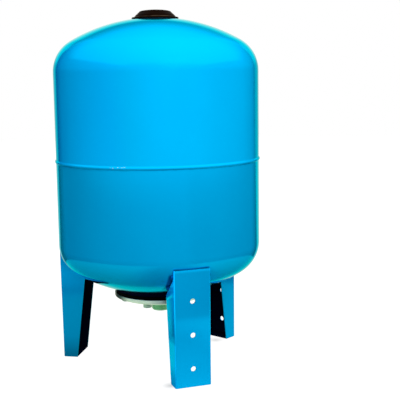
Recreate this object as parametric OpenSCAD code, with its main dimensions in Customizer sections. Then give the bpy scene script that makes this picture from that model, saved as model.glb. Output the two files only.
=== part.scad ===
// Upright well pressure tank on three folded legs.
// Z is up, the floor is z = 0, the tank's axis is the Z axis and the front leg stands on -Y.
// All sizes are millimetres.

/* [Tank shells] */
// Outer diameter of the barrel
tank_d = 360; // [348:2:372]
// Sheet thickness of both shells
shell_t = 1.5; // [1.2:0.1:2.5]
// Length of the lower shell's straight wall, up to the seam
lower_wall_h = 147.5; // [60:0.5:220]
// Length of the upper shell's straight wall, above the seam
upper_wall_h = 155; // [60:0.5:220]
// Crown radius of the lower head
lower_crown_r = 298; // [290:1:340]
// Knuckle radius of the lower head
lower_knuckle_r = 57.5; // [50:0.5:65]
// Crown radius of the upper head
upper_crown_r = 299; // [290:1:340]
// Knuckle radius of the upper head
upper_knuckle_r = 62.5; // [50:0.5:72]

/* [Seam] */
// Depth to which the lower shell's rim is let into the upper shell
seam_overlap = 4; // [3:0.5:10]
// Radial play between the lower shell's rim and the upper shell's lip
seam_play = 0.2; // [0.1:0.05:0.4]
// Height over which the lip runs back into the barrel
lip_blend_h = 3.5; // [2:0.5:8]
// Size of the weld bead under the lip
girth_bead = 1.4; // [0.8:0.1:2]

/* [Legs] */
// Outer width of a leg
leg_w = 62.5; // [50:0.5:70]
// Height of a leg
leg_h = 198; // [170:1:240]
// Drop from the lower shell's tangent line to the leg's top edge
leg_top_drop = 17.5; // [10:0.5:24]
// Sheet thickness of a leg
leg_t = 2.5; // [2:0.25:4]
// Inside radius of a leg's folds
leg_bend_r = 0.5; // [0.5:0.5:4]
// How far the foot's front stands inside the barrel's outline
leg_foot_inset = 1.6; // [1:0.1:8]
// Depth of the foot, front to back
leg_foot_depth = 26; // [20:0.5:36]
// Widening of the side flanges with height, in degrees
leg_taper = 7.1; // [4:0.1:10]
// Slope of the side flanges' top cut, in degrees
leg_cut_slope = 41.6; // [36:0.2:46]
// Play between the top cut and the lower head
leg_cut_play = 1; // [0.5:0.1:2]
// Depth of the folds beside the tab above the top cut
leg_tab_depth = 7.5; // [6:0.5:10]
// Gap between the leg's top edge and the lower head
leg_seat_play = 0.2; // [0.1:0.05:0.5]
// Diameter of the holes in a leg
leg_hole_d = 9; // [6:0.5:12]
// Number of holes in a leg
leg_hole_count = 3; // [2:1:4]
// Height of the lowest hole
leg_hole_z = 30.6; // [20:0.1:40]
// Drop from the leg's top edge to the highest hole
leg_hole_top_drop = 52.4; // [48:0.1:60]
// Radius of a weld stitch between leg and head
stitch_r = 4.5; // [4:0.1:6]

/* [Neck and flange] */
// Outer diameter of the neck ring
neck_d = 160; // [158:1:168]
// Height of the neck ring's edge below the head
neck_drop = 5.2; // [4:0.2:8]
// Thickness of the neck ring at its bolts
neck_t = 16; // [14:0.5:22]
// Diameter of the tank's mouth
mouth_d = 100; // [80:1:106]
// Diameter of the counter flange
flange_d = 166; // [166:1:172]
// Thickness of the counter flange
flange_t = 5; // [4:0.25:8]
// Height of the step between the flange's middle and its rim
flange_step = 3; // [1.5:0.25:4]
// Bolt circle of the counter flange
bolt_pcd = 126; // [122:1:128]
// Number of flange bolts
bolt_count = 6; // [4:1:8]
// Turn of the bolt circle away from the front leg, in degrees
bolt_turn = 8.8; // [0:0.2:30]
// Thread diameter of a flange bolt
bolt_d = 8; // [6:1:10]
// Length of a flange bolt under its head
bolt_l = 24; // [20:1:26]
// Width of a bolt head across its flats
bolt_af = 13; // [10:0.5:15]
// Height of a bolt head
bolt_head_h = 5.3; // [4:0.1:6.5]
// Thickness of a spring washer
washer_t = 2; // [1.5:0.1:2.5]
// Radial play round a bolt
bolt_play = 0.5; // [0.3:0.05:1]

/* [Water nipple] */
// Outer diameter of the nipple's thread
nipple_d = 33.2; // [26:0.2:42]
// Bore of the nipple
nipple_bore_d = 26.5; // [18:0.5:28]
// Length of the nipple below the flange
nipple_l = 26; // [18:1:40]
// Length of the nipple's plain neck, between its thread and the flange
nipple_neck_l = 7; // [5:0.5:12]
// Chamfer of the nipple's ends
nipple_chamfer = 1; // [0.5:0.1:1.5]
// Size of the weld bead round the nipple
nipple_bead = 2; // [1:0.25:3]

/* [Bladder] */
// Wall thickness of the bag
bag_t = 2; // [1.5:0.1:3]
// Wall thickness of the bag's neck
bag_neck_t = 3; // [2.5:0.5:5]
// Thickness of the clamped lip
lip_t = 5; // [3:0.5:7]
// Height of the lip's outer bulge
bulge_h = 10.5; // [9:0.5:14]
// Radius of the bag, half filled
bag_r = 120; // [80:1:150]
// Height of the bag's widest part above the lip
bag_mid_h = 170; // [120:5:190]
// Length of the bag's straight middle
bag_straight_h = 80; // [40:5:140]
// Height of the bag's round top
bag_top_h = 90; // [60:5:110]

/* [Air valve] */
// Diameter of the valve boss
boss_d = 44; // [40:1:50]
// Height of the valve boss
boss_h = 5; // [4.8:0.1:5.2]
// Diameter of the boss's spigot through the shell
boss_spigot_d = 24; // [22:1:30]
// Diameter of the valve stem
stem_d = 7.8; // [7:0.1:9]
// Bore of the valve stem
stem_bore_d = 4.4; // [4:0.1:5]
// Length of the stem above the boss
stem_top = 4.6; // [4:0.1:4.8]
// Width of the valve nut across its flats
nut_af = 12; // [11:0.5:13]
// Thickness of the valve nut
nut_t = 3; // [2.5:0.1:3.2]
// Size of the weld bead round the boss
boss_bead = 2.5; // [1:0.25:3]

/* [Valve cover] */
// Diameter of the cover's brim
cover_d = 82; // [81:1:90]
// Height of the cover above the head's top
cover_h = 13.4; // [13.4:0.2:18]
// Thickness of the cover's wall
cover_t = 1.7; // [1.5:0.1:1.8]
// Thickness of the brim
brim_t = 2.8; // [2:0.1:5]
// Diameter of the cone's foot, above the brim
cover_cone_d = 71; // [68:0.5:75.5]
// Diameter of the cone's top
cover_top_d = 56; // [50:0.5:60]
// Play between pieces that are slid into each other
slide_play = 0.3; // [0.2:0.05:0.5]

/* [Hidden] */
$fn = 96;

// Hairline gap between faces that only touch
touch = 0.02;
// How far a cutting shape runs past the faces that it cuts
past = 1;
// Radial play of a plain hole that stands for a tapped or glued one
tap_play = 0.1;
// Swell of a weld bead's rounded face, as a share of the bead's size
bead_swell = 0.7;
// Angle steps of the drawn arcs, in degrees
knuckle_step = 3;
crown_step = 1.6;

tank_r = tank_d / 2;
lower_tangent_z = leg_h + leg_top_drop;
seam_z = lower_tangent_z + lower_wall_h;
upper_tangent_z = seam_z + upper_wall_h;
lip_r = tank_r + seam_play + shell_t;

// Height of a head over its tangent line
function head_h(crown, knuckle) =
    crown - sqrt(pow(crown - knuckle, 2) - pow(tank_r - knuckle, 2));
// Angle from the axis at which crown and knuckle meet
function head_joint(crown, knuckle) = asin((tank_r - knuckle) / (crown - knuckle));
// Rise of a head's outside over its tangent line at the radius r
function head_rise(r, crown, knuckle) =
    r < crown * sin(head_joint(crown, knuckle))
    ? head_h(crown, knuckle) - crown + sqrt(crown * crown - r * r)
    : sqrt(max(0, knuckle * knuckle - pow(r - tank_r + knuckle, 2)));
// Even steps from a to b, both ends included, none longer than step
function steps(a, b, step) = let (n = ceil(abs(b - a) / step)) [for (i = [0:n]) a + (b - a) * i / n];
// Outline of a head from its tangent line to the radius hole_r, a depth inside its outside face
function head_outline(crown, knuckle, depth, hole_r) =
    let (joint = head_joint(crown, knuckle), end = asin(hole_r / (crown - depth)),
         centre = head_h(crown, knuckle) - crown)
    concat([for (a = steps(0, 90 - joint, knuckle_step))
                [tank_r - knuckle + (knuckle - depth) * cos(a), (knuckle - depth) * sin(a)]],
           [for (a = steps(joint, end, crown_step))
                if (a < joint) [(crown - depth) * sin(a), centre + (crown - depth) * cos(a)]]);
// Height of the lower head's outside above the floor
function low_z(r) = lower_tangent_z - head_rise(r, lower_crown_r, lower_knuckle_r);
// Height of the upper head's outside above the floor
function top_z(r) = upper_tangent_z + head_rise(r, upper_crown_r, upper_knuckle_r);
// The points of an outline moved up by z, and turned over where sign is -1
function placed(points, z, sign) = [for (p = points) [p[0], z + sign * p[1]]];
function reversed(points) = [for (i = [len(points) - 1:-1:0]) points[i]];

neck_r = neck_d / 2;
mouth_r = mouth_d / 2;
neck_edge_w = 5.4;
neck_shoulder_w = 4;
neck_step_r = neck_r - neck_edge_w;
neck_spigot_r = neck_r - neck_shoulder_w;
neck_hole_r = neck_spigot_r + slide_play;
neck_edge_z = low_z(neck_r) - neck_drop;
neck_face_z = neck_edge_z - bulge_h + lip_t;
neck_shoulder_z = low_z(neck_hole_r) - slide_play;
neck_bead = 3;

lip_low_z = neck_face_z - lip_t;
flange_r = flange_d / 2;
flange_face_z = lip_low_z - flange_t;
rim_inner_r = neck_r + 2 * slide_play;
rim_t = flange_r - rim_inner_r;
rim_low_z = flange_face_z + flange_step;
rim_round = 2.4;
rim_lap = 2;
// Width of the flange's flat beyond the bolt heads
step_land = 3.5;
step_r = bolt_pcd / 2 + bolt_af / 2 + step_land;
bolt_r = bolt_d / 2;
bolt_seat_z = flange_face_z - washer_t;

// Angle of the flange bolt i, seen from above
function bolt_angle(i) = -90 - bolt_turn + (i - 0.5) * 360 / bolt_count;

nipple_r = nipple_d / 2;
nipple_low_z = flange_face_z - nipple_l;
// Depth to which the plain neck is turned down below the thread
nipple_relief = 0.4;
nipple_neck_r = nipple_r - nipple_relief;
nipple_neck_z = flange_face_z - nipple_neck_l;

boss_r = boss_d / 2;
boss_low_z = top_z(boss_spigot_d / 2 + slide_play) + touch;
boss_top_z = boss_low_z + boss_h;
boss_spigot_h = 4;
gasket_t = 2;
gasket_r = 8;
stem_r = stem_d / 2;
stem_hole_r = stem_r + tap_play;
stem_head_t = 2;
stem_head_z = boss_low_z - boss_spigot_h - gasket_t - stem_head_t;
stem_top_z = boss_top_z + stem_top;
nut_pocket_play = 1.2;
nut_pocket_r = nut_af / 2 / cos(30) + nut_pocket_play;
nut_low_z = boss_top_z - nut_t;
dust_cap_t = 1.2;
dust_cap_r = stem_r + dust_cap_t;
dust_cap_low_z = boss_top_z + slide_play;
dust_cap_top_z = stem_top_z + slide_play + dust_cap_t;

cover_top_z = top_z(0) + cover_h;
cover_r = cover_d / 2;
cone_r = cover_cone_d / 2;
cone_top_r = cover_top_d / 2;
brim_top_z = top_z(cover_r) + slide_play + brim_t;
brim_round = 0.8;
// Radius of the fillet between brim and cone
cone_fillet = 2.4;
cone_foot_z = brim_top_z + cone_fillet;
// Height of the cover's rounded crown
crown_h = 3.8;
cone_top_z = cover_top_z - crown_h;

leg_foot_r = tank_r - leg_foot_inset;
leg_fold_r = leg_bend_r + leg_t;
leg_hole_pitch = (leg_h - leg_hole_z - leg_hole_top_drop) / (leg_hole_count - 1);
knuckle_r0 = tank_r - lower_knuckle_r;
// Radius of the lower head's outside at the height z, within its knuckle
function knuckle_radius(z) =
    knuckle_r0 + sqrt(pow(lower_knuckle_r, 2) - pow(lower_tangent_z - z, 2));
leg_top_r = knuckle_radius(leg_h) + leg_seat_play + leg_t;
leg_lean = atan((leg_top_r - leg_foot_r) / leg_h);
// Height of the side flanges' top cut at the distance y from the axis
function cut_z(y) = lower_tangent_z
    + ((y - knuckle_r0) * sin(leg_cut_slope) - lower_knuckle_r - leg_cut_play) / cos(leg_cut_slope);
flange_back_y = leg_foot_r - leg_foot_depth;
cut_end_z = cut_z(flange_back_y) / (1 + tan(leg_taper) * tan(leg_cut_slope));
cut_end_y = flange_back_y - cut_end_z * tan(leg_taper);
cut_start_y = leg_top_r - leg_tab_depth;
// Spare length of a folded strip before it is trimmed
spare = 10;
// Angles of the weld stitches, seen from the middle of the knuckle
stitch_angles = [30, 63];
// How far the middle of a stitch stands out of the joint that it fills
stitch_out = 0.5;

// Solid of revolution of an outline of [radius, height] points
module turned(points) {
    rotate_extrude() polygon(points);
}

module upper_shell() {
    hole_r = boss_spigot_d / 2 + slide_play;
    blend = [for (i = [0:6]) (1 - cos(30 * i)) / 2];
    blend_low_z = seam_z + seam_overlap / 2;
    inner_low_z = seam_z + seam_overlap + slide_play;
    grow = lip_r - tank_r;
    lip_outer = [for (b = [0:6]) [lip_r - grow * blend[b], blend_low_z + lip_blend_h * b / 6]];
    lip_inner = [for (b = [0:6]) [lip_r - shell_t - grow * blend[b], inner_low_z + lip_blend_h * b / 6]];
    outside = placed(head_outline(upper_crown_r, upper_knuckle_r, 0, hole_r), upper_tangent_z, 1);
    inside = placed(head_outline(upper_crown_r, upper_knuckle_r, shell_t, hole_r), upper_tangent_z, 1);
    color("deepskyblue")
        turned(concat([[lip_r - shell_t, seam_z], [lip_r, seam_z]], lip_outer, outside,
                      reversed(inside), reversed(lip_inner)));
}

module lower_shell() {
    rim_z = seam_z + seam_overlap;
    outside = placed(head_outline(lower_crown_r, lower_knuckle_r, 0, neck_hole_r), lower_tangent_z, -1);
    inside = placed(head_outline(lower_crown_r, lower_knuckle_r, shell_t, neck_hole_r), lower_tangent_z, -1);
    color("deepskyblue")
        turned(concat([[tank_r - shell_t, rim_z], [tank_r, rim_z]], outside, reversed(inside)));
}

// The whole space inside the shells' outside faces
module tank_space() {
    outside_low = placed(head_outline(lower_crown_r, lower_knuckle_r, 0, 0), lower_tangent_z, -1);
    turned(concat([[0, seam_z], [tank_r, seam_z]], outside_low));
}

module girth_weld() {
    color("deepskyblue")
        turned([[tank_r + touch, seam_z - touch], [tank_r + touch, seam_z - girth_bead],
                [tank_r + bead_swell * girth_bead, seam_z - bead_swell * girth_bead],
                [tank_r + girth_bead, seam_z - touch]]);
}

// One cylinder for each flange bolt, from z0 to z1
module bolt_holes(r, z0, z1) {
    for (i = [0:bolt_count - 1])
        rotate([0, 0, bolt_angle(i)])
            translate([bolt_pcd / 2, 0, z0])
                cylinder(r = r, h = z1 - z0, $fn = 48);
}

module neck_ring() {
    top_z = neck_face_z + neck_t;
    color("steelblue")
        difference() {
            turned([[mouth_r, neck_face_z], [neck_step_r, neck_face_z], [neck_step_r, neck_edge_z],
                    [neck_r, neck_edge_z], [neck_r, neck_shoulder_z], [neck_spigot_r, neck_shoulder_z],
                    [neck_spigot_r, top_z], [mouth_r, top_z]]);
            bolt_holes(bolt_r + tap_play, neck_face_z - past, top_z + past);
        }
}

module neck_weld() {
    seat = [for (i = [0:4]) let (r = neck_r + touch + neck_bead * i / 4) [r, low_z(r) - 2 * touch]];
    color("steelblue")
        turned(concat([[neck_r + touch, low_z(neck_r) - neck_bead],
                       [neck_r + bead_swell * neck_bead, low_z(neck_r) - bead_swell * neck_bead]],
                      reversed(seat)));
}

// Outline of a folded strip seen from above, with its outer face on y = 0
module fold_outline(w, depth, r) {
    translate([-w / 2 + r, 0]) square([w - 2 * r, depth]);
    translate([-w / 2, r]) square([w, depth - r]);
    for (side = [-1, 1])
        translate([side * (w / 2 - r), r]) circle(r = r);
}

// A leg: one sheet folded to a channel, with a foot plate folded in at the floor
module leg() {
    depth = leg_foot_r - cut_end_y + spare;
    foot_inner_w = leg_w - 2 * leg_t;
    side_view = [[-leg_top_r - spare, 0], [-leg_top_r - spare, leg_h], [-leg_top_r + leg_fold_r, leg_h],
                 [-cut_start_y, cut_z(cut_start_y)], [-cut_end_y, cut_end_z], [-flange_back_y, 0]];
    color("dodgerblue")
        difference() {
            intersection() {
                union() {
                    translate([0, -leg_foot_r, 0])
                        rotate([leg_lean, 0, 0])
                            translate([0, 0, -spare])
                                linear_extrude(height = leg_h + 2 * spare)
                                    difference() {
                                        fold_outline(leg_w, depth, leg_fold_r);
                                        translate([0, leg_t])
                                            fold_outline(foot_inner_w, depth, leg_bend_r);
                                    }
                    translate([-foot_inner_w / 2 - leg_t / 2, -leg_foot_r + leg_t / 2, 0])
                        cube([foot_inner_w + leg_t, leg_foot_depth, leg_t]);
                }
                rotate([90, 0, 90])
                    linear_extrude(height = leg_w + 2 * spare, center = true)
                        polygon(side_view);
            }
            for (i = [0:leg_hole_count - 1])
                translate([0, -leg_foot_r - spare, leg_hole_z + i * leg_hole_pitch])
                    rotate([-90, 0, 0])
                        cylinder(d = leg_hole_d, h = 2 * spare, $fn = 48);
        }
}

module front_leg() {
    leg();
}

module left_leg() {
    rotate([0, 0, -120]) leg();
}

module right_leg() {
    rotate([0, 0, 120]) leg();
}

// The weld stitches of one leg, four beads between its side flanges and the head
module leg_stitches() {
    reach = lower_knuckle_r + 1.2 * leg_cut_play + stitch_out;
    x = leg_w / 2 - leg_t / 2 + stitch_out;
    difference() {
        for (side = [-1, 1], a = stitch_angles) {
            r = knuckle_r0 + reach * cos(a);
            translate([side * x, -sqrt(r * r - x * x), lower_tangent_z - reach * sin(a)])
                sphere(r = stitch_r, $fn = 32);
        }
        tank_space();
        leg();
    }
}

module leg_welds() {
    color("deepskyblue")
        for (turn = [-120, 0, 120])
            rotate([0, 0, turn]) leg_stitches();
}

module bladder() {
    neck_out_r = mouth_r - slide_play;
    flare_z = neck_face_z + neck_t + 2 * bag_neck_t;
    mid_z = lip_low_z + bag_mid_h;
    straight_top_z = mid_z + bag_straight_h;
    quarter = [for (a = [0:6:90]) a];
    lower_out = [for (a = quarter) [neck_out_r + (bag_r - neck_out_r) * sin(a),
                                    flare_z + (mid_z - flare_z) * (1 - cos(a))]];
    neck_in_r = neck_out_r - bag_neck_t;
    lower_in = [for (a = quarter) [neck_in_r + (bag_r - bag_t - neck_in_r) * sin(a),
                                   flare_z + bag_t + (mid_z - flare_z - bag_t) * (1 - cos(a))]];
    top_out = [for (a = quarter) [bag_r * cos(a), straight_top_z + bag_top_h * sin(a)]];
    top_in = [for (a = quarter) [(bag_r - bag_t) * cos(a), straight_top_z + (bag_top_h - bag_t) * sin(a)]];
    bulge_top_z = lip_low_z + bulge_h;
    bulge_in_r = neck_step_r + slide_play;
    bulge_round = 1;
    color("black")
        difference() {
            turned(concat([[neck_in_r, lip_low_z], [neck_r, lip_low_z],
                           [neck_r + slide_play, lip_low_z + lip_t],
                           [neck_r + slide_play, bulge_top_z - bulge_round],
                           [neck_r - bulge_round, bulge_top_z - touch], [bulge_in_r, bulge_top_z - touch],
                           [bulge_in_r, neck_face_z - touch], [neck_out_r, neck_face_z - touch]],
                          lower_out, top_out, reversed(top_in), reversed(lower_in)));
            bolt_holes(bolt_r + bolt_play, lip_low_z - past, neck_face_z + past);
        }
}

module counter_flange() {
    rim_top_z = lip_low_z + flange_step + rim_lap;
    rounding = [for (a = [0:15:90])
                    [flange_r - rim_round * (1 - cos(a)), rim_low_z + rim_round * (1 - sin(a))]];
    hole_r = nipple_neck_r + tap_play;
    color("lightgray")
        difference() {
            turned(concat([[hole_r, flange_face_z], [step_r, flange_face_z],
                           [step_r + flange_step, rim_low_z]],
                          reversed(rounding),
                          [[flange_r, rim_top_z], [flange_r - rim_t, rim_top_z],
                           [flange_r - rim_t, lip_low_z - touch], [hole_r, lip_low_z - touch]]));
            bolt_holes(bolt_r + bolt_play, flange_face_z - past, lip_low_z + past);
        }
}

module water_nipple() {
    top_z = lip_low_z - touch;
    bore_r = nipple_bore_d / 2;
    color("darkseagreen")
        turned([[bore_r, nipple_low_z], [nipple_r - nipple_chamfer, nipple_low_z],
                [nipple_r, nipple_low_z + nipple_chamfer], [nipple_r, nipple_neck_z],
                [nipple_neck_r, nipple_neck_z + nipple_relief], [nipple_neck_r, top_z], [bore_r, top_z]]);
}

module nipple_weld() {
    color("darkseagreen")
        turned([[nipple_neck_r + touch, flange_face_z - touch],
                [nipple_neck_r + touch, flange_face_z - nipple_bead],
                [nipple_neck_r + bead_swell * nipple_bead, flange_face_z - bead_swell * nipple_bead],
                [nipple_neck_r + nipple_bead, flange_face_z - touch]]);
}

module flange_bolts() {
    color("silver") {
        bolt_holes(bolt_r, bolt_seat_z - past, bolt_seat_z + bolt_l);
        for (i = [0:bolt_count - 1])
            rotate([0, 0, bolt_angle(i)])
                translate([bolt_pcd / 2, 0, bolt_seat_z - bolt_head_h])
                    cylinder(d = bolt_af / cos(30), h = bolt_head_h - touch, $fn = 6);
    }
}

module spring_washers() {
    color("gray")
        difference() {
            bolt_holes(bolt_af / 2, bolt_seat_z, flange_face_z - touch);
            bolt_holes(bolt_r + 2 * tap_play, bolt_seat_z - past, flange_face_z + past);
        }
}

module valve_boss() {
    color("silver")
        difference() {
            union() {
                translate([0, 0, boss_low_z]) cylinder(r = boss_r, h = boss_h);
                translate([0, 0, boss_low_z - boss_spigot_h])
                    cylinder(d = boss_spigot_d, h = boss_spigot_h + past);
            }
            translate([0, 0, nut_low_z]) cylinder(r = nut_pocket_r, h = nut_t + past);
            translate([0, 0, boss_low_z - boss_spigot_h - past])
                cylinder(r = stem_hole_r, h = boss_spigot_h + boss_h + 2 * past, $fn = 48);
        }
}

module boss_weld() {
    seat = [for (i = [0:4]) let (r = boss_r + touch + boss_bead * i / 4) [r, top_z(r) + 2 * touch]];
    color("deepskyblue")
        turned(concat([[boss_r + touch, boss_low_z + boss_bead],
                       [boss_r + bead_swell * boss_bead, boss_low_z + bead_swell * boss_bead]],
                      reversed(seat)));
}

module valve_stem() {
    color("gold")
        difference() {
            union() {
                translate([0, 0, stem_head_z]) cylinder(r = gasket_r, h = stem_head_t, $fn = 48);
                translate([0, 0, stem_head_z]) cylinder(r = stem_r, h = stem_top_z - stem_head_z, $fn = 48);
            }
            translate([0, 0, stem_head_z - past])
                cylinder(d = stem_bore_d, h = stem_top_z - stem_head_z + 2 * past, $fn = 48);
        }
}

module valve_core() {
    core_r = stem_bore_d / 2 - tap_play / 2;
    core_l = 11;
    pin_r = 0.7;
    pin_l = 13.5;
    core_low_z = stem_top_z - pin_l - slide_play;
    color("goldenrod") {
        translate([0, 0, core_low_z]) cylinder(r = core_r, h = core_l, $fn = 48);
        translate([0, 0, core_low_z]) cylinder(r = pin_r, h = pin_l, $fn = 24);
    }
}

module stem_gasket() {
    color("black")
        translate([0, 0, stem_head_z + stem_head_t + touch])
            difference() {
                cylinder(r = gasket_r, h = gasket_t - 2 * touch, $fn = 48);
                translate([0, 0, -past]) cylinder(r = stem_hole_r, h = gasket_t + 2 * past, $fn = 48);
            }
}

module stem_nut() {
    color("gold")
        translate([0, 0, nut_low_z + touch])
            difference() {
                cylinder(d = nut_af / cos(30), h = nut_t, $fn = 6);
                translate([0, 0, -past]) cylinder(r = stem_hole_r, h = nut_t + 2 * past, $fn = 48);
            }
}

module dust_cap() {
    color("black")
        difference() {
            translate([0, 0, dust_cap_low_z])
                cylinder(r = dust_cap_r, h = dust_cap_top_z - dust_cap_low_z, $fn = 48);
            translate([0, 0, dust_cap_low_z - past])
                cylinder(r = stem_hole_r, h = stem_top_z + slide_play - dust_cap_low_z + past, $fn = 48);
        }
}

module valve_cover() {
    collar_in_r = boss_r + slide_play;
    collar_out_r = collar_in_r + cover_t;
    collar_low_z = boss_low_z + boss_bead + 2 * slide_play;
    wall_in_r = cone_r - cover_t;
    ceiling_z = cone_top_z - cover_t;
    inner_round = 1;
    crown = [for (a = [0:10:90]) [cone_top_r * cos(a), cone_top_z + crown_h * sin(a)]];
    crown_in = [for (a = [0:10:90]) [(collar_in_r - inner_round) * cos(a), ceiling_z + crown_h * sin(a)]];
    brim_under = [for (i = [0:4]) let (r = wall_in_r + (cover_r - wall_in_r) * i / 4)
                      [r, top_z(r) + slide_play]];
    brim_edge = [for (a = [0:30:90])
                     [cover_r - brim_round * (1 - cos(a)), brim_top_z - brim_round * (1 - sin(a))]];
    fillet = [for (a = [0:30:90])
                  [cone_r + cone_fillet * (1 - sin(a)), brim_top_z + cone_fillet * (1 - cos(a))]];
    color("black")
        turned(concat(brim_under, brim_edge, fillet, crown, reversed(crown_in),
                      [[collar_in_r, ceiling_z - inner_round], [collar_in_r, collar_low_z],
                       [collar_out_r, collar_low_z], [collar_out_r, ceiling_z],
                       [max(cone_top_r - cover_t, collar_out_r + touch), ceiling_z],
                       [wall_in_r, cone_foot_z]]));
}

upper_shell();
lower_shell();
girth_weld();
neck_ring();
neck_weld();
front_leg();
left_leg();
right_leg();
leg_welds();
bladder();
counter_flange();
water_nipple();
nipple_weld();
flange_bolts();
spring_washers();
valve_boss();
boss_weld();
valve_stem();
valve_core();
stem_gasket();
stem_nut();
dust_cap();
valve_cover();
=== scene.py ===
"""Looks of an upright well pressure tank: sky-blue enamelled shells on three folded legs."""
from math import asin, cos, degrees, pi, radians, sin, sqrt, tau

import bmesh
import bpy
from mathutils import Matrix, Vector, noise


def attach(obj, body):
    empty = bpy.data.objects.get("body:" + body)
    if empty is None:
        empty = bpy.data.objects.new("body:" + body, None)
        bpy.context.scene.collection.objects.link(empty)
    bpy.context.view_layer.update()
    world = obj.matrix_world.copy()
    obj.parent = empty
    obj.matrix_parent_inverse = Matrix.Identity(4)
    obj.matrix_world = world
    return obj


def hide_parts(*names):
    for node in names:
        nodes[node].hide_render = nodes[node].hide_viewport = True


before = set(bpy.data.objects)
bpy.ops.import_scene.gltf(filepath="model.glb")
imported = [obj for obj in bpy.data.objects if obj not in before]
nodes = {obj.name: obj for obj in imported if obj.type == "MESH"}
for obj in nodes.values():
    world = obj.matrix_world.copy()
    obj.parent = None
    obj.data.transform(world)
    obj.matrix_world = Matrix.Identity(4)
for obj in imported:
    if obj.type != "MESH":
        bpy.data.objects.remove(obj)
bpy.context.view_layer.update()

MM = 0.001

# Camera, found by fitting the tank's outline
CAMERA_DISTANCE = 1.539958
CAMERA_HEIGHT = 0.503045
CAMERA_SWING = 0.2936078
CAMERA_YAW = 0.0481814
CAMERA_PITCH = 0.1385858
CAMERA_ROLL = -0.0137331
CAMERA_LENS = 77.585

# Driving sizes of the visible pieces, in millimetres
TANK_R = 180.0
SHELL_T = 1.5
SEAM_Z = 363.0
LIP_R = 181.7
RIM_Z = 367.0
LOWER_TANGENT_Z = 215.5
LOWER_CROWN_R = 298.0
LOWER_KNUCKLE_R = 57.5
UPPER_TANGENT_Z = 518.0
UPPER_CROWN_R = 299.0
UPPER_KNUCKLE_R = 62.5
NECK_HOLE_R = 76.3
BOSS_HOLE_R = 12.3
LIP_ROUND_R = 0.4
FLARE_Z = 365.0
FLARE_H = 3.5
INNER_FLARE_RISE = 2.3
NIPPLE_R = 16.6
NIPPLE_BORE_R = 13.25
NIPPLE_Z = 88.7
NIPPLE_TOP_Z = 119.68
THREAD_END_Z = 107.7
THREAD_DEPTH = 1.48
THREAD_PITCH = 2.309
LEG_W = 62.5
LEG_T = 2.5
LEG_FOOT_R = 178.4
LEG_TOP_R = 180.0
LEG_H = 198.0
LEG_TURNS = {"front_leg": 0.0, "left_leg": -120.0, "right_leg": 120.0}
ROUND_STEPS = 256

# Where the painted highlight on the cover, the painted glints and shade on the paint and the painted dark
# reflection on the zinc lie, in millimetres; a side is counted to the camera's right
HIGHLIGHT_Z = (611.8, 613.6)
GLINT_Z = (SEAM_Z + 1.4, SEAM_Z + 3.8)
GLINT_SIDE = -61.0
GLINT_REACH = 13.0
CORNER_Z = (156.0, 190.0)
CORNER_W = 6.0
DARK_REFLECTION_SIDE = -64.0


# Shader wiring

class Value:
    """One output of a shader; arithmetic on it adds Math nodes."""

    def __init__(self, wiring, socket):
        self.wiring = wiring
        self.socket = socket

    def math(self, operation, first, second=None):
        inputs = {0: first} if second is None else {0: first, 1: second}
        return self.wiring.add("ShaderNodeMath", {"operation": operation}, inputs)

    def __add__(self, other):
        return self.math("ADD", self, other)

    def __radd__(self, other):
        return self.math("ADD", other, self)

    def __sub__(self, other):
        return self.math("SUBTRACT", self, other)

    def __rsub__(self, other):
        return self.math("SUBTRACT", other, self)

    def __mul__(self, other):
        return self.math("MULTIPLY", self, other)

    def __rmul__(self, other):
        return self.math("MULTIPLY", other, self)

    def __truediv__(self, other):
        return self.math("DIVIDE", self, other)

    def __rtruediv__(self, other):
        return self.math("DIVIDE", other, self)

    def __pow__(self, other):
        return self.math("POWER", self, other)

    def __abs__(self):
        return self.math("ABSOLUTE", self)

    def over(self, edge, width):
        """0 below the edge and 1 above it, with a soft step of that width."""
        limits = {"From Min": edge - width / 2, "From Max": edge + width / 2}
        settings = {"interpolation_type": "SMOOTHSTEP"}
        return self.wiring.add("ShaderNodeMapRange", settings, {"Value": self, **limits})

    def under(self, edge, width):
        return 1 - self.over(edge, width)


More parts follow.
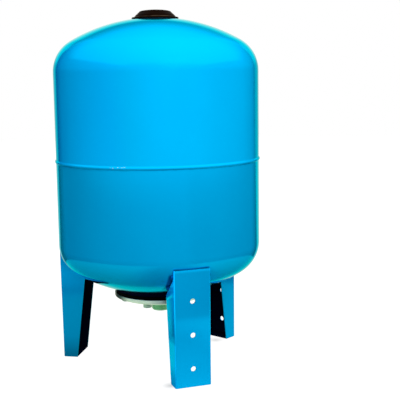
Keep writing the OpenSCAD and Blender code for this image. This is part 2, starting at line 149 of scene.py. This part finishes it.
class Wiring:
    """The nodes of one material or world."""

    def __init__(self, owner):
        owner.use_nodes = True
        self.tree = owner.node_tree

    def put(self, socket, value):
        if isinstance(value, Value):
            self.tree.links.new(value.socket, socket)
        else:
            socket.default_value = value

    def add(self, kind, settings=None, inputs=None, output=0):
        """A node of that kind; its settings come first, then the values or links of its sockets."""
        node = self.tree.nodes.new(kind)
        for name, setting in (settings or {}).items():
            if name == "stops":
                self.fill_ramp(node.color_ramp, setting)
            else:
                setattr(node, name, setting)
        for name, value in (inputs or {}).items():
            self.put(node.inputs[name], value)
        return Value(self, node.outputs[output])

    def fill_ramp(self, ramp, stops):
        while len(ramp.elements) < len(stops):
            ramp.elements.new(1.0)
        for element, (position, colour) in zip(ramp.elements, stops):
            element.position = position
            element.color = colour

    def place(self, turn=0.0):
        """Object coordinates in metres, turned about Z by that many degrees."""
        where = self.add("ShaderNodeTexCoord", output="Object")
        if not turn:
            return where
        return self.add("ShaderNodeMapping", {"vector_type": "POINT"},
                        {"Vector": where, "Rotation": (0.0, 0.0, radians(turn))})

    def axes(self, vector):
        split = self.add("ShaderNodeSeparateXYZ", inputs={0: vector})
        return [Value(self, socket) for socket in split.socket.node.outputs]

    def noise(self, where, size, detail):
        """Noise from 0 to 1 whose lumps are about that many metres across."""
        return self.add("ShaderNodeTexNoise", None, {"Vector": where, "Scale": 1 / size, "Detail": detail})

    def mixed(self, share, first, second, blend="MIX"):
        """first where share is 0, second (or its blend with the first) where it is 1; both are colours."""
        mix = self.tree.nodes.new("ShaderNodeMix")
        mix.data_type = "RGBA"
        mix.blend_type = blend
        for name, value in zip(("Factor_Float", "A_Color", "B_Color"), (share, first, second)):
            self.put(next(s for s in mix.inputs if s.identifier == name), value)
        return Value(self, next(s for s in mix.outputs if s.identifier == "Result_Color"))

    def math_max(self, first, second):
        return self.add("ShaderNodeMath", {"operation": "MAXIMUM"}, {0: first, 1: second})

    def bump(self, height, distance, strength):
        inputs = {"Height": height, "Distance": distance, "Strength": strength}
        return self.add("ShaderNodeBump", None, inputs)


class Finish(Wiring):
    """A material with one Principled surface."""

    def __init__(self, name, fixed=None):
        self.material = bpy.data.materials.new(name)
        super().__init__(self.material)
        self.surface = self.tree.nodes["Principled BSDF"]
        self.vary(fixed or {})

    def vary(self, values):
        for name, value in values.items():
            self.put(self.surface.inputs[name], value)


# Finishes

def grey(tone):
    return (tone, tone, tone, 1.0)


def dimmed(colour, share):
    return tuple(channel * share for channel in colour[:3]) + (1.0,)


def rays(wiring, kind):
    return Value(wiring, wiring.add("ShaderNodeLightPath").socket.node.outputs["Is " + kind + " Ray"])


def seen_from(wiring, way):
    """How far a place or a direction lies to the camera's right, towards the camera, and up."""
    x, y, z = wiring.axes(way)
    side = cos(CAMERA_SWING) * x - sin(CAMERA_SWING) * y
    front = -sin(CAMERA_SWING) * x - cos(CAMERA_SWING) * y
    return side, front, z


SKY_BLUE = (0.0, 0.47, 0.92, 1.0)
DEEP_BLUE = (0.0, 0.44, 0.90, 1.0)
SHADE_NAVY = (0.0, 0.004, 0.02, 1.0)
SHADE_BLUE = (0.0, 0.05, 0.3, 1.0)
GLINT_WHITE = (1.0, 1.0, 0.95, 1.0)
DARK_REFLECTION_GREEN = (0.01, 0.06, 0.03, 1.0)
BROWN_SHEEN = (1.0, 0.6, 0.4, 1.0)
PAINT_METAL = 0.36
PAINT_SHEEN = {"IOR": 1.0, "Specular Tint": (0.15, 0.9, 0.95, 1.0)}


def base_coat(finish, bright=1.0):
    """Colour, metallic share and roughness of the sky-blue enamel, before any marks."""
    cloud = finish.noise(finish.place(), 0.08, 2.0)
    rim = finish.add("ShaderNodeLayerWeight", None, {"Blend": 0.5}, "Facing")
    colour = finish.mixed(cloud, dimmed(SKY_BLUE, bright), dimmed(DEEP_BLUE, bright))
    return colour, PAINT_METAL + 0.04 * cloud + 0.6 * rim.over(0.72, 0.2), 0.09 + 0.04 * cloud


def top_coat(finish, colour, metal, rough):
    """Puts the enamel on, with a faint peel."""
    peel = finish.noise(finish.place(), 0.009, 1.0)
    finish.vary({"Base Color": colour, "Metallic": metal, "Roughness": rough,
                 "Normal": finish.bump(peel, 0.00002, 0.3)})
    return finish.material


def painted_glints(finish, where):
    """Painted glints: bright white specks of highlight on the seam's lip, left of the middle as the camera
    sees it.
    """
    side, front, up = seen_from(finish, where)
    lip = up.over(GLINT_Z[0] * MM, 0.0006) * up.under(GLINT_Z[1] * MM, 0.0006)
    here = abs(side - GLINT_SIDE * MM).under(GLINT_REACH * MM, 0.008) * front.over(0.0, 0.01)
    return lip * here * finish.noise(where, 0.003, 1.0).over(0.6, 0.06)


def corner_shade(finish, where):
    """Shade on the lower head: behind the front leg and just over its top, and in a strip beside it."""
    x, y, z = finish.axes(where)
    edge = LEG_W / 2 * MM
    strip = x.over(-edge - CORNER_W * MM, 0.004) * x.under(0.002 - edge, 0.002)
    strip = strip * z.over(CORNER_Z[0] * MM, 0.012) * z.under(CORNER_Z[1] * MM, 0.008)
    hidden = abs(x).under(edge, 0.003) * z.under(LEG_H * MM + 0.0025, 0.0015)
    return finish.math_max(0.85 * strip, 0.6 * hidden) * y.under(-0.1, 0.01)


def enamel(name, bright=1.0):
    """Glossy sky-blue enamel of the shells and of what is welded to them, with painted glints and painted
    shade.
    """
    finish = Finish(name, PAINT_SHEEN)
    where = finish.place()
    colour, metal, rough = base_coat(finish, bright)
    # Painted glints: white, mirror-like specks of highlight on the seam's lip
    glint = painted_glints(finish, where)
    colour = finish.mixed(glint, colour, GLINT_WHITE)
    # Painted shade on the lower head, behind the front leg and in a strip beside it
    colour = finish.mixed(corner_shade(finish, where), colour, SHADE_BLUE)
    return top_coat(finish, colour, metal + glint * (1 - metal), rough)


def leg_enamel(name, turn, tones):
    """The enamel on a leg that is turned to its place, with the inside of the fold drawn near-black as
    painted shade.

    The tones are two ramps, of the web and of the side flanges: painted reflection and shade by height.
    """
    finish = Finish(name, PAINT_SHEEN)
    colour, metal, rough = base_coat(finish)
    x, y, z = finish.axes(finish.place(-turn))
    lean = (LEG_TOP_R - LEG_FOOT_R) / LEG_H
    edge = LEG_W / 2 * MM
    wall = 0.6 * LEG_T * MM
    soft = 0.4 * LEG_T * MM
    depth = y + LEG_FOOT_R * MM + lean * z
    inside = abs(x).under(edge - wall, soft) * depth.over(wall, soft)
    web, flange = [finish.add("ShaderNodeValToRGB", {"stops": stops}, {"Fac": z / (LEG_H * MM)})
                   for stops in tones]
    tone = finish.mixed(abs(x).over(edge - soft, soft), web, flange)
    # Multiplies in the painted reflection and shade, by height
    colour = finish.mixed(1.0, colour, tone, "MULTIPLY")
    # Painted shade: the inside of the fold drawn near-black navy, rougher and not metallic
    colour = finish.mixed(inside, colour, SHADE_NAVY)
    return top_coat(finish, colour, metal * (1 - inside), rough + 0.35 * inside)


def zinc(name, bright, dull, metal, rough, dark_reflection=0.0):
    """Zinc plate: a pale metal with dull clouds, fine brushed grain and a painted dark reflection to the
    camera's left.
    """
    finish = Finish(name, {"Metallic": metal})
    where = finish.place()
    cloud = finish.noise(where, 0.012, 3.0)
    grain = finish.noise(where, 0.0012, 2.0)
    # Painted dark reflection at the camera's left end
    dark = dark_reflection * seen_from(finish, where)[0].under(DARK_REFLECTION_SIDE * MM, 0.02)
    finish.vary({"Base Color": finish.mixed(dark, finish.mixed(cloud, bright, dull), DARK_REFLECTION_GREEN),
                 "Roughness": rough + 0.15 * cloud + 0.05 * grain,
                 "Normal": finish.bump(grain, 0.00003, 0.4)})
    return finish.material


def rubber(name, deep, bloomed):
    """Matt, nearly black rubber with a paler bloom in patches; the neck's paint uses it too, drawn
    near-black as painted shade.
    """
    finish = Finish(name, {"Specular IOR Level": 0.03})
    where = finish.place()
    grain = finish.noise(where, 0.0015, 3.0)
    bloom = finish.noise(where, 0.02, 2.0)
    finish.vary({"Base Color": finish.mixed(bloom, deep, bloomed),
                 "Roughness": 0.6 + 0.15 * grain,
                 "Normal": finish.bump(grain, 0.00008, 0.5)})
    return finish.material


def moulded_plastic(name, light, dark, rough):
    """Moulded plastic with a fine grain."""
    finish = Finish(name, {"Specular IOR Level": 0.06, "Specular Tint": BROWN_SHEEN})
    where = finish.place()
    cloud = finish.noise(where, 0.01, 2.0)
    grain = finish.noise(where, 0.0008, 2.0)
    finish.vary({"Base Color": finish.mixed(cloud, light, dark),
                 "Roughness": rough + 0.08 * cloud,
                 "Normal": finish.bump(grain, 0.00002, 0.4)})
    return finish.material


def cover_plastic(name):
    """Moulded cover: brown-black, with a painted highlight in patches along the fillet over its brim."""
    finish = Finish(name, {"Specular IOR Level": 0.012, "Specular Tint": BROWN_SHEEN})
    where = finish.place()
    up = finish.axes(where)[2]
    cloud = finish.noise(where, 0.01, 2.0)
    band = up.over(HIGHLIGHT_Z[0] * MM, 0.0008) * up.under(HIGHLIGHT_Z[1] * MM, 0.0008)
    highlight = band * finish.noise(where, 0.02, 1.0).over(0.48, 0.14)
    colour = finish.mixed(cloud, (0.008, 0.002, 0.0004, 1.0), (0.003, 0.0008, 0.0002, 1.0))
    # Paler tan where the painted highlight lies
    finish.vary({"Base Color": finish.mixed(highlight, colour, (0.045, 0.032, 0.02, 1.0)),
                 "Roughness": 0.3 + 0.08 * cloud})
    return finish.material


def turned_brass(name):
    """Turned brass, duller in patches."""
    finish = Finish(name, {"Metallic": 1.0})
    where = finish.place()
    cloud = finish.noise(where, 0.006, 2.0)
    finish.vary({"Base Color": finish.mixed(cloud, (0.78, 0.55, 0.22, 1.0), (0.6, 0.4, 0.16, 1.0)),
                 "Roughness": 0.28 + 0.15 * cloud})
    return finish.material


finishes = {
    "tank_paint": enamel("sky_blue_enamel"),
    # The neck ring and its weld: blue paint drawn near-black as painted shade
    "neck_paint": rubber("neck_painted_shade", (0.0, 0.0008, 0.012, 1.0), (0.0, 0.0015, 0.02, 1.0)),
    "bladder_rubber": rubber("bladder_rubber", (0.0004, 0.0004, 0.0005, 1.0), grey(0.0012)),
    "flange_zinc": zinc("flange_zinc", (0.82, 1.0, 1.0, 1.0), (0.62, 0.95, 0.82, 1.0), 0.8, 0.28, 0.85),
    "nipple_zinc": zinc("nipple_zinc", (0.5, 1.0, 0.66, 1.0), (0.35, 0.85, 0.48, 1.0), 0.4, 0.3),
    "bolt_zinc": zinc("bolt_zinc", (0.7, 1.0, 0.8, 1.0), (0.45, 0.75, 0.55, 1.0), 0.4, 0.3),
    "boss_steel": enamel("boss_enamel"),
    # The leg welds: a copy of the enamel drawn at 0.45 brightness as painted shade
    "shaded_stitch_paint": enamel("shaded_stitch_enamel", bright=0.45),
    "valve_brass": turned_brass("valve_brass"),
    "gasket_rubber": rubber("gasket_rubber", grey(0.002), grey(0.004)),
    "cap_plastic": moulded_plastic("cap_plastic", grey(0.01), grey(0.006), 0.4),
    "cover_plastic": cover_plastic("cover_plastic"),
}
# Painted reflection and shade on the legs: how bright the paint is drawn at each share of a leg's height,
# on its web and on its side flanges, and how far the flanges' blue is raised over that
LEG_LIGHT_TONES = {
    "front_leg": ([(0.0, 1.5), (0.1, 1.36), (0.45, 1.08), (0.57, 1.06), (0.61, 0.96), (0.975, 0.96),
                   (0.99, 1.3)],
                  [(0.0, 1.2), (0.07, 1.25), (0.136, 1.5), (0.2, 1.6), (0.27, 1.36), (0.36, 1.33),
                   (0.39, 0.85), (0.44, 0.95), (0.475, 1.2), (0.54, 1.48), (0.61, 1.8), (0.75, 2.1),
                   (0.85, 2.4)], 1.3),
    "left_leg": ([(0.0, 0.8), (1.0, 0.8)],
                 [(0.03, 0.36), (0.12, 0.53), (0.2, 0.67), (0.54, 0.81), (0.63, 0.93), (0.71, 1.23),
                  (0.8, 1.4), (0.9, 1.15)], 1.1),
    "right_leg": ([(0.0, 1.0), (1.0, 1.0)], [(0.0, 1.0), (1.0, 1.0)], 1.1),
}
WEB_BLUE = 1.04
leg_finishes = {}
for leg_name, turn in LEG_TURNS.items():
    web, flange, blue = LEG_LIGHT_TONES[leg_name]
    tones = [[(at, (tone, tone, tone * tint, 1.0)) for at, tone in stops]
             for stops, tint in ((web, WEB_BLUE), (flange, blue))]
    leg_finishes[leg_name] = leg_enamel(leg_name + "_enamel", turn, tones)


# Shapes

def arc(centre, radius, start, end, steps):
    """Points [r, z] of an arc; the angles are in degrees, from the r axis."""
    angles = [radians(start + (end - start) * i / steps) for i in range(steps + 1)]
    return [(centre[0] + radius * cos(a), centre[1] + radius * sin(a)) for a in angles]


def head(tangent_z, crown, knuckle, depth, hole_r, sign):
    """A dished head's outline from its tangent line to its hole, a depth inside its outside face."""
    reach = crown - knuckle
    joint = asin((TANK_R - knuckle) / reach)
    end = asin(hole_r / (crown - depth))
    crown_drop = sqrt(reach ** 2 - (TANK_R - knuckle) ** 2)
    bend = arc((TANK_R - knuckle, 0.0), knuckle - depth, 0, 90 - degrees(joint), 24)
    dish = arc((0.0, -crown_drop), crown - depth, 90 - degrees(joint), 90 - degrees(end), 40)
    return [(r, tangent_z + sign * z) for r, z in bend + dish[1:]]


def turned(outline, steps=ROUND_STEPS):
    """A closed outline of (r, z) points in millimetres, spun about the tank's axis."""
    mesh = bmesh.new()
    points = [mesh.verts.new((r * MM, 0.0, z * MM)) for r, z in outline]
    rim = [mesh.edges.new(pair) for pair in zip(points, points[1:] + points[:1])]
    bmesh.ops.spin(mesh, geom=points + rim, cent=(0, 0, 0), axis=(0, 0, 1), angle=tau,
                   steps=steps, use_merge=True)
    bmesh.ops.remove_doubles(mesh, verts=mesh.verts, dist=1e-6)
    bmesh.ops.recalc_face_normals(mesh, faces=mesh.faces)
    return mesh


def copied(node):
    """The CAD node's own shape as one joined mesh."""
    mesh = bmesh.new()
    mesh.from_mesh(nodes[node].data)
    bmesh.ops.remove_doubles(mesh, verts=mesh.verts, dist=1e-6)
    return mesh


def piece(name, mesh, finish, stands_for, crease=30.0, edge=0.0):
    """Makes the mesh an object: smooth, with creases kept, and its edges broken by edge millimetres."""
    for face in mesh.faces:
        face.smooth = True
    for seam in mesh.edges:
        seam.smooth = len(seam.link_faces) == 2 and seam.calc_face_angle(0.0) < radians(crease)
    data = bpy.data.meshes.new(name)
    mesh.to_mesh(data)
    mesh.free()
    thing = bpy.data.objects.new(name, data)
    bpy.context.scene.collection.objects.link(thing)
    data.materials.append(finish)
    if edge:
        bevel = thing.modifiers.new("broken_edges", "BEVEL")
        bevel.width = edge * MM
        bevel.segments = 2
        bevel.limit_method = "ANGLE"
        bevel.angle_limit = radians(crease)
        bevel.harden_normals = True
    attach(thing, "root")
    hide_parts(*stands_for)


def upper_shell():
    """The top half: its head, its wall and the lip that flares out over the seam."""
    steps = 6
    flare = [(LIP_R - (LIP_R - TANK_R) * (1 - cos(pi * i / steps)) / 2, FLARE_Z + FLARE_H * i / steps)
             for i in range(steps + 1)]
    inner_flare = [(r - SHELL_T, z + INNER_FLARE_RISE) for r, z in flare]
    outside = head(UPPER_TANGENT_Z, UPPER_CROWN_R, UPPER_KNUCKLE_R, 0.0, BOSS_HOLE_R, 1)
    inside = head(UPPER_TANGENT_Z, UPPER_CROWN_R, UPPER_KNUCKLE_R, SHELL_T, BOSS_HOLE_R, 1)
    edge = arc((LIP_R - LIP_ROUND_R, SEAM_Z + LIP_ROUND_R), LIP_ROUND_R, -90, 0, 3)
    outline = [(LIP_R - SHELL_T, SEAM_Z)] + edge + flare + outside + inside[::-1] + inner_flare[::-1]
    return turned(outline)


def lower_shell():
    """The bottom half, whose rim stands inside the lip."""
    outside = head(LOWER_TANGENT_Z, LOWER_CROWN_R, LOWER_KNUCKLE_R, 0.0, NECK_HOLE_R, -1)
    inside = head(LOWER_TANGENT_Z, LOWER_CROWN_R, LOWER_KNUCKLE_R, SHELL_T, NECK_HOLE_R, -1)
    return turned([(TANK_R - SHELL_T, RIM_Z), (TANK_R, RIM_Z)] + outside + inside[::-1])


def water_nipple():
    """The nipple's tube with its helical thread."""
    core = NIPPLE_R - THREAD_DEPTH
    neck = NIPPLE_R - 0.4
    chamfer = 0.5
    outline = [(NIPPLE_BORE_R, NIPPLE_Z), (core - chamfer, NIPPLE_Z), (core, NIPPLE_Z + chamfer),
               (core, THREAD_END_Z), (neck, THREAD_END_Z + 1), (neck, NIPPLE_TOP_Z),
               (NIPPLE_BORE_R, NIPPLE_TOP_Z)]
    mesh = turned(outline, 96)
    turns = 7
    steps = 64
    start = NIPPLE_Z + THREAD_PITCH / 2 + 0.3
    ridge = [(core - 0.1, -1.0), (NIPPLE_R, -0.2), (NIPPLE_R, 0.2), (core - 0.1, 1.0)]
    points = [mesh.verts.new((r * MM, 0.0, (start + z) * MM)) for r, z in ridge]
    first = mesh.faces.new(points)
    swept = bmesh.ops.spin(mesh, geom=[first], cent=(0, 0, 0), axis=(0, 0, 1), angle=turns * tau,
                           steps=turns * steps, dvec=(0, 0, THREAD_PITCH * MM / steps))
    last = [item for item in swept["geom_last"] if isinstance(item, bmesh.types.BMFace)]
    if not last:
        mesh.faces.new([item for item in swept["geom_last"] if isinstance(item, bmesh.types.BMVert)])
    bmesh.ops.recalc_face_normals(mesh, faces=mesh.faces)
    return mesh


def lumpy(mesh, height, size):
    """Moves the mesh in and out by that many millimetres, in lumps of that size, as weld beads are."""
    mesh.normal_update()
    for point in mesh.verts:
        point.co += point.normal * height * MM * noise.noise(point.co / (size * MM))


piece("upper_shell_skin", upper_shell(), finishes["tank_paint"], ["upper_shell"])
piece("lower_shell_skin", lower_shell(), finishes["tank_paint"], ["lower_shell"])

for leg_name in LEG_TURNS:
    leg_mesh = copied(leg_name)
    bmesh.ops.dissolve_limit(leg_mesh, angle_limit=radians(0.2), verts=leg_mesh.verts, edges=leg_mesh.edges)
    piece(leg_name + "_sheet", leg_mesh, leg_finishes[leg_name], [leg_name],
          crease=25.0, edge=0.35)

# Pieces that keep the CAD node's shape: finish, crease angle in degrees and broken edge in millimetres
copies = {
    "girth_weld": ("tank_paint", 60.0, 0.0), "neck_ring": ("neck_paint", 30.0, 0.3),
    "neck_weld": ("neck_paint", 60.0, 0.0), "leg_welds": ("tank_paint", 60.0, 0.0),
    "bladder": ("bladder_rubber", 40.0, 0.3), "counter_flange": ("flange_zinc", 25.0, 0.3),
    "nipple_weld": ("nipple_zinc", 60.0, 0.0), "flange_bolts": ("bolt_zinc", 25.0, 0.2),
    "spring_washers": ("bolt_zinc", 25.0, 0.1), "valve_boss": ("boss_steel", 25.0, 0.2),
    "boss_weld": ("tank_paint", 60.0, 0.0), "valve_stem": ("valve_brass", 25.0, 0.1),
    "valve_core": ("valve_brass", 25.0, 0.0), "stem_gasket": ("gasket_rubber", 25.0, 0.1),
    "stem_nut": ("valve_brass", 25.0, 0.1), "dust_cap": ("cap_plastic", 25.0, 0.2),
    "valve_cover": ("cover_plastic", 35.0, 0.2),
}
for node_name, (slot_name, crease_angle, broken) in copies.items():
    node_mesh = copied(node_name)
    if node_name.endswith(("weld", "welds")):
        lumpy(node_mesh, height=0.5, size=4.0)
    finish = finishes["shaded_stitch_paint" if node_name == "leg_welds" else slot_name]
    piece(node_name + "_piece", node_mesh, finish, [node_name], crease_angle, broken)

piece("water_nipple_thread", water_nipple(), finishes["nipple_zinc"], ["water_nipple"],
      crease=35.0)


# Floor, backdrop and light

# Places on the floor are metres to the camera's right and towards the camera
FLOOR_R = 6.0
PAPER_R = 0.54
TANK_SHADE = (0.08, 0.32)
# Painted soft shadows beside the feet, with their depth
FOOT_SHADOWS = [((0.014, 0.162), 0.9), ((0.105, -0.085), 0.7)]
PANEL_TONE = 1.25
NEAR_TONE = 0.8
WARM_PAPER = (1.0, 0.95, 0.65, 1.0)
BACKDROP = (0.75, 0.75, 0.62, 1.0)
BACKDROP_TOP = (1.25, 1.15, 0.9, 1.0)
GAP_TONE = 0.5
# Edges of the soft light overhead, across and along for each unit of height: place, width of the step
PANEL_ACROSS = ((-2.2, 0.6), (3.0, 0.6))
PANEL_ALONG = ((-1.08, 1.37), (2.5, 1.3))
# Where the backdrop ends on the camera's left and right, as shares of a turn
BACKDROP_TURN = (0.092, 0.897)
WHITE = (1.0, 1.0, 1.0)
BLUISH = (0.5, 0.78, 1.6)
COOL = (0.6, 0.95, 1.2)
# Angle in degrees to the right of the camera's side, brightness and tint of the room there
ROOM_TONES = [(-152, 0.18, BLUISH), (-135, 0.26, BLUISH), (-112, 0.62, COOL), (-90, 0.74, COOL),
              (-54, 0.8, COOL), (-30, 0.84, WHITE), (10, 0.88, WHITE), (40, 0.86, WHITE), (66, 0.74, WHITE),
              (90, 0.78, WHITE), (112, 0.8, WHITE), (131, 0.44, WHITE), (147, 0.26, WHITE)]


def away(side, front, place, squash=1.0):
    """Distance on the floor from a place, with the way towards the camera squashed."""
    right = side - place[0]
    near = front - place[1]
    return (right * right + squash * near * near) ** 0.5


def floor():
    """White paper round the tank and behind it, grey studio floor beyond; the camera sees both as white."""
    mesh = bmesh.new()
    bmesh.ops.create_circle(mesh, cap_ends=True, segments=96, radius=FLOOR_R)
    data = bpy.data.meshes.new("studio_floor")
    mesh.to_mesh(data)
    mesh.free()
    thing = bpy.data.objects.new("studio_floor", data)
    bpy.context.scene.collection.objects.link(thing)
    paper = Finish("white_paper", {"Roughness": 1.0, "Specular IOR Level": 0.0, "Base Color": grey(0.1),
                                   "Emission Strength": 1.0})
    side, front = seen_from(paper, paper.place())[:2]
    reach = (0.75 * side * side + front * front) ** 0.5
    # Painted shade of the tank on the paper, as reflections see it
    shade = away(side, front, TANK_SHADE, squash=0.42).under(0.17, 0.22)
    near = reach.under(PAPER_R, 0.03) * (1 - 0.85 * shade)
    behind = (front + 1.45 * abs(side) - 0.15 * side).under(0.1, 0.2)
    behind = behind * (0.72 + 0.1 * side.over(0.0, 0.2))
    facing = ((front + 0.2 * side) / reach).over(0.1, 1.6)
    dim = (side / reach).over(0.55, 0.2)
    distant = 0.1 + 0.1 * facing * (1 - dim) + 0.6 * reach.over(3.2, 3.6) * facing
    tone = paper.math_max(paper.math_max(NEAR_TONE * near, behind), distant)
    seen = rays(paper, "Camera")
    for spot, depth in FOOT_SHADOWS:
        seen = seen * (1 - depth * away(side, front, spot).under(0.0, 0.05))
    glossy = rays(paper, "Glossy") + rays(paper, "Transmission")
    tint = paper.mixed(glossy * paper.math_max(near, behind), grey(1.0), WARM_PAPER)
    paper.vary({"Emission Color": paper.mixed(seen + glossy * tone, grey(0.0), tint)})
    data.materials.append(paper.material)


def backdrop():
    """A white backdrop behind the tank, a wide soft light over it and a dimmer room round it."""
    world = bpy.data.worlds.new("studio")
    bpy.context.scene.world = world
    room = Wiring(world)
    side, front, up = seen_from(room, room.add("ShaderNodeTexCoord", output="Generated"))
    turn = room.add("ShaderNodeMath", {"operation": "ARCTAN2"}, {0: side, 1: front}) / tau + 0.5
    stops = [(0.5 + angle / 360, (red * tone, green * tone, blue * tone, 1.0))
             for angle, tone, (red, green, blue) in ROOM_TONES]
    ring = room.add("ShaderNodeValToRGB", {"stops": stops}, {"Fac": turn})
    ring = room.mixed(0.4 * abs(side).over(0.3, 0.6) * up.under(0.02, 0.25), ring, grey(0.0))
    height = room.math_max(up, 0.02)
    across = side / height
    along = front / height
    panel = across.over(*PANEL_ACROSS[0]) * across.under(*PANEL_ACROSS[1])
    panel = panel * along.over(*PANEL_ALONG[0]) * along.under(*PANEL_ALONG[1]) * up.over(0.05, 0.04)
    behind = 1 - turn.over(BACKDROP_TURN[0], 0.015) * turn.under(BACKDROP_TURN[1], 0.015)
    gap = room.mixed(side.over(0.1, 0.6), grey(GAP_TONE), grey(1.5 * GAP_TONE))
    sheet = room.mixed(up.over(0.12, 0.1), BACKDROP, BACKDROP_TOP)
    sweep = room.mixed(up.over(0.42, 0.06), sheet, gap)
    light = room.mixed(panel, room.mixed(behind, ring, sweep), grey(PANEL_TONE))
    shade = room.tree.nodes["Background"]
    room.put(shade.inputs["Color"], room.mixed(rays(room, "Camera"), light, grey(1.0)))


def lamp(name, place, aim, width, height, power):
    """A soft rectangular lamp, kept out of the reflections."""
    data = bpy.data.lights.new(name, "AREA")
    data.shape = "RECTANGLE"
    data.size = width
    data.size_y = height
    data.energy = power
    thing = bpy.data.objects.new(name, data)
    thing.location = place
    thing.rotation_euler = (Vector(aim) - Vector(place)).to_track_quat("-Z", "Y").to_euler()
    thing.visible_glossy = False
    bpy.context.scene.collection.objects.link(thing)


def camera():
    """The photograph's viewpoint."""
    data = bpy.data.cameras.new("product_camera")
    data.lens = CAMERA_LENS
    data.sensor_width = 36.0
    thing = bpy.data.objects.new("product_camera", data)
    turn = Matrix.Rotation(-CAMERA_SWING - CAMERA_YAW, 4, "Z")
    tilt = Matrix.Rotation(pi / 2 - CAMERA_PITCH, 4, "X")
    roll = Matrix.Rotation(CAMERA_ROLL, 4, "Z")
    place = Vector((-CAMERA_DISTANCE * sin(CAMERA_SWING), -CAMERA_DISTANCE * cos(CAMERA_SWING),
                    CAMERA_HEIGHT))
    thing.matrix_world = Matrix.Translation(place) @ turn @ tilt @ roll
    bpy.context.scene.collection.objects.link(thing)
    bpy.context.scene.camera = thing


floor()
backdrop()
lamp("key_light", place=(0.02, -0.75, 0.77), aim=(0.0, 0.0, 0.55), width=0.4, height=0.3, power=3.5)
camera()

bpy.context.scene.view_settings.view_transform = "Standard"
